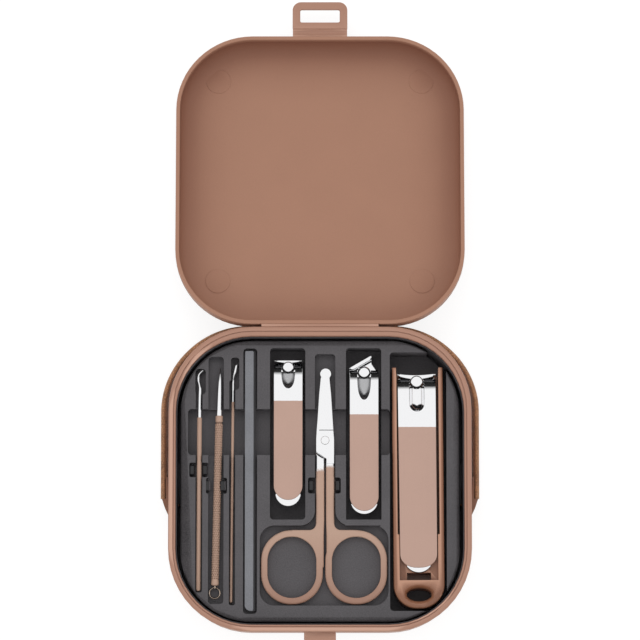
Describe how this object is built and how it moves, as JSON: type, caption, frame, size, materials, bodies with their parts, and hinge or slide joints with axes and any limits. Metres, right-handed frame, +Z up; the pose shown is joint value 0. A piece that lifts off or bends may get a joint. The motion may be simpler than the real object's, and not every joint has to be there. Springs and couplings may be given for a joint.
{
  "type": "manicure set case",
  "caption": "Hinged square case with round corners, open flat, its tray holding nail clippers, scissors, file and slim cuticle tools; hasp closure and carrying strap.",
  "frame": {"origin": "centre of the underside of the base", "axes": "+Z up, +Y from the latch side towards the lid hinge, +X to the right seen from the latch side"},
  "size_m": [0.1314, 0.2674, 0.0235],
  "materials": {
    "case_plastic": "matt terracotta brown moulded plastic",
    "tray_plastic": "fine-grained dark grey plastic",
    "strap_leather": "grained brown leather-look strap",
    "chrome_steel": "bright polished plate",
    "painted_steel": "satin rose-beige paint over plated steel",
    "file_core": "grey core board",
    "file_abrasive": "fine grey abrasive"
  },
  "bodies": {
    "case_base": {"base_shell": "case_plastic", "tray_insert": "tray_plastic", "hinge_web": "case_plastic"},
    "lid": {"lid_shell": "case_plastic", "hasp_web": "case_plastic"},
    "hasp": {"hasp": "case_plastic"},
    "strap": {"strap_band": "strap_leather", "strap_end_left": "case_plastic", "strap_end_right": "case_plastic"},
    "ear_pick": {"ear_pick_handle": "painted_steel", "ear_pick_spoon": "chrome_steel"},
    "needle_tool": {"needle_tool_handle": "painted_steel", "needle_tool_tip": "chrome_steel", "needle_tool_loop": "chrome_steel"},
    "cuticle_pusher": {"cuticle_pusher_handle": "painted_steel", "cuticle_pusher_blade": "chrome_steel"},
    "nail_file": {"file_core": "file_core", "file_face_lower": "file_abrasive", "file_face_upper": "file_abrasive"},
    "straight_clipper": {"straight_clipper_lower_leaf": "chrome_steel", "straight_clipper_rivet": "chrome_steel", "straight_clipper_post": "chrome_steel", "straight_clipper_pin": "chrome_steel"},
    "straight_clipper_jaw": {"straight_clipper_upper_leaf": "chrome_steel"},
    "straight_clipper_arm": {"straight_clipper_lever": "painted_steel"},
    "slanted_clipper": {"slanted_clipper_lower_leaf": "chrome_steel", "slanted_clipper_rivet": "chrome_steel", "slanted_clipper_post": "chrome_steel", "slanted_clipper_pin": "chrome_steel"},
    "slanted_clipper_jaw": {"slanted_clipper_upper_leaf": "chrome_steel"},
    "slanted_clipper_arm": {"slanted_clipper_lever": "painted_steel"},
    "large_clipper": {"large_clipper_lower_leaf": "chrome_steel", "large_clipper_rivet": "chrome_steel", "large_clipper_post": "chrome_steel", "large_clipper_pin": "chrome_steel"},
    "large_clipper_jaw": {"large_clipper_upper_leaf": "chrome_steel"},
    "large_clipper_arm": {"large_clipper_lever": "painted_steel"},
    "large_catcher": {"large_clipper_catcher": "case_plastic"},
    "scissors_pivot": {"scissors_rivet": "chrome_steel"},
    "scissors_left": {"scissors_half_left": "painted_steel"},
    "scissors_right": {"scissors_half_right": "painted_steel"}
  },
  "joints": [
    {"name": "lid_hinge", "type": "hinge", "parent": "case_base", "child": "lid", "pos_m": [0, 0.0632, 0.0236], "axis": [-1, 0, 0], "range_deg": [-185.67, 0], "deforming": ["hinge_web"]},
    {"name": "hasp_hinge", "type": "hinge", "parent": "lid", "child": "hasp", "pos_m": [0, 0.18918, 0.01109], "axis": [-1, 0, 0], "range_deg": [-90, 0], "deforming": ["hasp_web"]},
    {"name": "strap_slide", "type": "slide", "parent": "case_base", "child": "strap", "axis": [0, 1, 0], "range_m": [0, 0.01]},
    {"name": "ear_pick_lift", "type": "slide", "parent": "case_base", "child": "ear_pick", "axis": [0, 0, 1], "range_m": [0, 0.05]},
    {"name": "needle_tool_lift", "type": "slide", "parent": "case_base", "child": "needle_tool", "axis": [0, 0, 1], "range_m": [0, 0.05]},
    {"name": "cuticle_pusher_lift", "type": "slide", "parent": "case_base", "child": "cuticle_pusher", "axis": [0, 0, 1], "range_m": [0, 0.05]},
    {"name": "nail_file_lift", "type": "slide", "parent": "case_base", "child": "nail_file", "axis": [0, 0, 1], "range_m": [0, 0.05]},
    {"name": "straight_clipper_lift", "type": "slide", "parent": "case_base", "child": "straight_clipper", "axis": [0, 0, 1], "range_m": [0, 0.06]},
    {"name": "straight_clipper_squeeze", "type": "hinge", "parent": "straight_clipper", "child": "straight_clipper_jaw", "pos_m": [-0.01305, 0.0057, 0.01325], "axis": [-1, 0, 0], "range_deg": [0, 0.85], "stiffness_Nm_per_rad": 20},
    {"name": "straight_clipper_lever_tilt", "type": "hinge", "parent": "straight_clipper", "child": "straight_clipper_arm", "pos_m": [-0.01305, 0.0464, 0.018], "axis": [-1, 0, 0], "range_deg": [0, 70]},
    {"name": "slanted_clipper_lift", "type": "slide", "parent": "case_base", "child": "slanted_clipper", "axis": [0, 0, 1], "range_m": [0, 0.06]},
    {"name": "slanted_clipper_squeeze", "type": "hinge", "parent": "slanted_clipper", "child": "slanted_clipper_jaw", "pos_m": [0.0181, 0.0041, 0.01325], "axis": [-1, 0, 0], "range_deg": [0, 0.85], "stiffness_Nm_per_rad": 20},
    {"name": "slanted_clipper_lever_tilt", "type": "hinge", "parent": "slanted_clipper", "child": "slanted_clipper_arm", "pos_m": [0.0181, 0.0442, 0.018], "axis": [-1, 0, 0], "range_deg": [0, 70]},
    {"name": "large_clipper_lift", "type": "slide", "parent": "case_base", "child": "large_catcher", "axis": [0, 0, 1], "range_m": [0, 0.06]},
    {"name": "large_clipper_draw", "type": "slide", "parent": "large_catcher", "child": "large_clipper", "axis": [0, 1, 0], "range_m": [0, 0.015]},
    {"name": "large_clipper_squeeze", "type": "hinge", "parent": "large_clipper", "child": "large_clipper_jaw", "pos_m": [0.0401, -0.0218, 0.0121], "axis": [-1, 0, 0], "range_deg": [0, 0.55], "stiffness_Nm_per_rad": 20},
    {"name": "large_clipper_lever_tilt", "type": "hinge", "parent": "large_clipper", "child": "large_clipper_arm", "pos_m": [0.0401, 0.0404, 0.018], "axis": [-1, 0, 0], "range_deg": [0, 70]},
    {"name": "scissors_lift", "type": "slide", "parent": "case_base", "child": "scissors_pivot", "axis": [0, 0, 1], "range_m": [0, 0.08]},
    {"name": "scissors_open_left", "type": "hinge", "parent": "scissors_pivot", "child": "scissors_left", "pos_m": [0.0021, 0.0161, 0.0179], "axis": [0, 0, -1], "range_deg": [0, 12]},
    {"name": "scissors_open_right", "type": "hinge", "parent": "scissors_pivot", "child": "scissors_right", "pos_m": [0.0021, 0.0161, 0.0179], "axis": [0, 0, 1], "range_deg": [0, 12]}
  ],
  "couplings": [
    {"joint": "scissors_open_left", "follows": "scissors_lift", "rad_per_m": 2.6},
    {"joint": "scissors_open_right", "follows": "scissors_lift", "rad_per_m": 2.6},
    {"joint": "large_clipper_draw", "follows": "large_clipper_lift", "ratio": 0.25}
  ]
}
